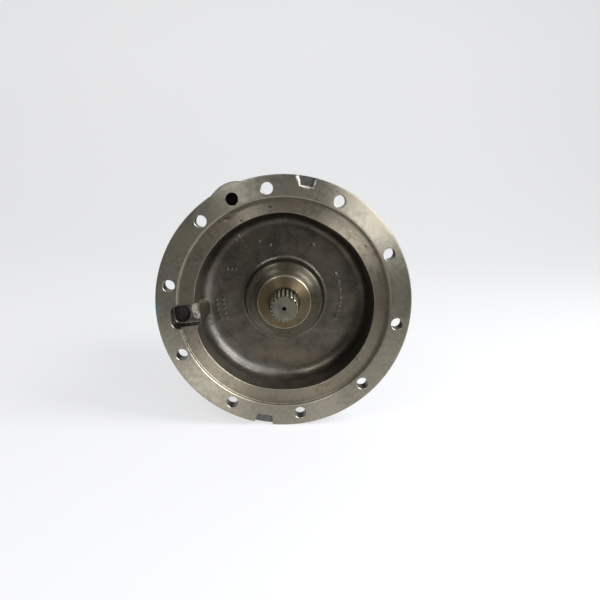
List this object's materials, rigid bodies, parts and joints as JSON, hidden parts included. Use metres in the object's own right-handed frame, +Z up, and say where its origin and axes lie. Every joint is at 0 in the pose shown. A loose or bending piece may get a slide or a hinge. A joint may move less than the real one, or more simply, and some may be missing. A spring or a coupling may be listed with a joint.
{
  "type": "excavator swing motor",
  "caption": "Flanged hydraulic swing motor with a splined output shaft in an open gear-side cavity, a piston group, a parking brake and a valve casing behind.",
  "frame": {"origin": "centre of the mounting face", "axes": "-Y along the output shaft, +X right and +Z up as seen from the output end"},
  "size_m": [0.3, 0.2574, 0.3],
  "materials": {
    "iron": "bare casting with turned faces, oil film and light rust",
    "steel": "ground and turned steel, oiled",
    "bronze": "machined bronze and bronze-faced plates",
    "rubber": "black nitrile",
    "zinc": "zinc plated"
  },
  "bodies": {
    "housing": {"main_casing": "iron", "seal_carrier": "iron", "seal_carrier_ring": "rubber", "oil_seal": "rubber", "front_bearing_outer_race": "steel", "swash_block": "steel", "swash_pin": "steel", "shoe_plate": "steel", "valve_plate": "bronze", "valve_plate_pin": "steel", "rear_bearing_shell": "steel", "brake_springs": "steel", "casing_joint_ring": "rubber", "valve_casing": "iron", "casing_bolts": "steel", "relief_body_a": "zinc", "relief_body_b": "zinc", "relief_spring_a": "steel", "relief_spring_b": "steel", "relief_adjuster_a": "zinc", "relief_adjuster_b": "zinc", "relief_locknuts": "zinc", "makeup_spring_a": "steel", "makeup_spring_b": "steel", "makeup_plugs": "zinc", "release_valve_body": "iron", "release_valve_spring": "steel", "release_valve_plug": "zinc", "release_valve_bolts": "steel", "port_plugs": "zinc"},
    "rotor": {"drive_shaft": "steel", "front_bearing_inner_race": "steel", "shaft_snap_ring": "steel", "cylinder_block": "steel", "pistons": "steel", "piston_shoes": "bronze", "retainer_plate": "steel", "spherical_bush": "steel", "preload_pins": "steel", "spring_washers": "steel", "centre_spring": "steel", "block_snap_ring": "steel"},
    "front_cage": {"front_bearing_cage": "bronze", "front_bearing_rollers": "steel"},
    "rear_cage": {"rear_bearing_needles": "steel"},
    "brake_piston": {"brake_piston": "steel", "brake_piston_rings": "rubber"},
    "separator_1": {"separator_plate_1": "steel"},
    "separator_2": {"separator_plate_2": "steel"},
    "separator_3": {"separator_plate_3": "steel"},
    "separator_4": {"separator_plate_4": "steel"},
    "friction_1": {"friction_plate_1": "bronze"},
    "friction_2": {"friction_plate_2": "bronze"},
    "friction_3": {"friction_plate_3": "bronze"},
    "relief_poppet_a": {"relief_poppet_a": "steel"},
    "relief_poppet_b": {"relief_poppet_b": "steel"},
    "makeup_poppet_a": {"makeup_poppet_a": "steel"},
    "makeup_poppet_b": {"makeup_poppet_b": "steel"},
    "spool": {"release_valve_spool": "steel"}
  },
  "joints": [
    {"name": "shaft_spin", "type": "hinge", "parent": "housing", "child": "rotor", "pos_m": [0, 0, 0], "axis": [0, -1, 0], "continuous": true},
    {"name": "front_cage_spin", "type": "hinge", "parent": "housing", "child": "front_cage", "pos_m": [0, 0.059, 0], "axis": [0, -1, 0], "continuous": true},
    {"name": "rear_cage_spin", "type": "hinge", "parent": "housing", "child": "rear_cage", "pos_m": [0, 0.191, 0], "axis": [0, -1, 0], "continuous": true},
    {"name": "brake_release", "type": "slide", "parent": "housing", "child": "brake_piston", "axis": [0, 1, 0], "range_m": [0, 0.002], "stiffness_N_per_m": 40000, "springref_m": -0.02, "deforming": ["brake_springs"]},
    {"name": "separator_1_slide", "type": "slide", "parent": "housing", "child": "separator_1", "axis": [0, 1, 0], "range_m": [0, 0.002]},
    {"name": "friction_1_slide", "type": "slide", "parent": "rotor", "child": "friction_1", "axis": [0, 1, 0], "range_m": [0, 0.002]},
    {"name": "separator_2_slide", "type": "slide", "parent": "housing", "child": "separator_2", "axis": [0, 1, 0], "range_m": [0, 0.002]},
    {"name": "friction_2_slide", "type": "slide", "parent": "rotor", "child": "friction_2", "axis": [0, 1, 0], "range_m": [0, 0.002]},
    {"name": "separator_3_slide", "type": "slide", "parent": "housing", "child": "separator_3", "axis": [0, 1, 0], "range_m": [0, 0.002]},
    {"name": "friction_3_slide", "type": "slide", "parent": "rotor", "child": "friction_3", "axis": [0, 1, 0], "range_m": [0, 0.002]},
    {"name": "separator_4_slide", "type": "slide", "parent": "housing", "child": "separator_4", "axis": [0, 1, 0], "range_m": [0, 0.002]},
    {"name": "relief_a_open", "type": "slide", "parent": "housing", "child": "relief_poppet_a", "axis": [-1, 0, 0], "range_m": [0, 0.002], "stiffness_N_per_m": 1000, "springref_m": -0.005, "deforming": ["relief_spring_a"]},
    {"name": "relief_b_open", "type": "slide", "parent": "housing", "child": "relief_poppet_b", "axis": [1, 0, 0], "range_m": [0, 0.002], "stiffness_N_per_m": 1000, "springref_m": -0.005, "deforming": ["relief_spring_b"]},
    {"name": "makeup_a_open", "type": "slide", "parent": "housing", "child": "makeup_poppet_a", "axis": [-1, 0, 0], "range_m": [0, 0.004], "stiffness_N_per_m": 300, "springref_m": -0.005, "deforming": ["makeup_spring_a"]},
    {"name": "makeup_b_open", "type": "slide", "parent": "housing", "child": "makeup_poppet_b", "axis": [1, 0, 0], "range_m": [0, 0.004], "stiffness_N_per_m": 300, "springref_m": -0.005, "deforming": ["makeup_spring_b"]},
    {"name": "release_spool_shift", "type": "slide", "parent": "housing", "child": "spool", "axis": [0, 0, -1], "range_m": [0, 0.005], "stiffness_N_per_m": 800, "springref_m": -0.005, "deforming": ["release_valve_spring"]}
  ],
  "couplings": [
    {"joint": "front_cage_spin", "follows": "shaft_spin", "ratio": 0.40833},
    {"joint": "rear_cage_spin", "follows": "shaft_spin", "ratio": 0.44484},
    {"joint": "separator_1_slide", "follows": "brake_release", "ratio": 0.125},
    {"joint": "friction_1_slide", "follows": "brake_release", "ratio": 0.25},
    {"joint": "separator_2_slide", "follows": "brake_release", "ratio": 0.375},
    {"joint": "friction_2_slide", "follows": "brake_release", "ratio": 0.5},
    {"joint": "separator_3_slide", "follows": "brake_release", "ratio": 0.625},
    {"joint": "friction_3_slide", "follows": "brake_release", "ratio": 0.75},
    {"joint": "separator_4_slide", "follows": "brake_release", "ratio": 0.875}
  ]
}
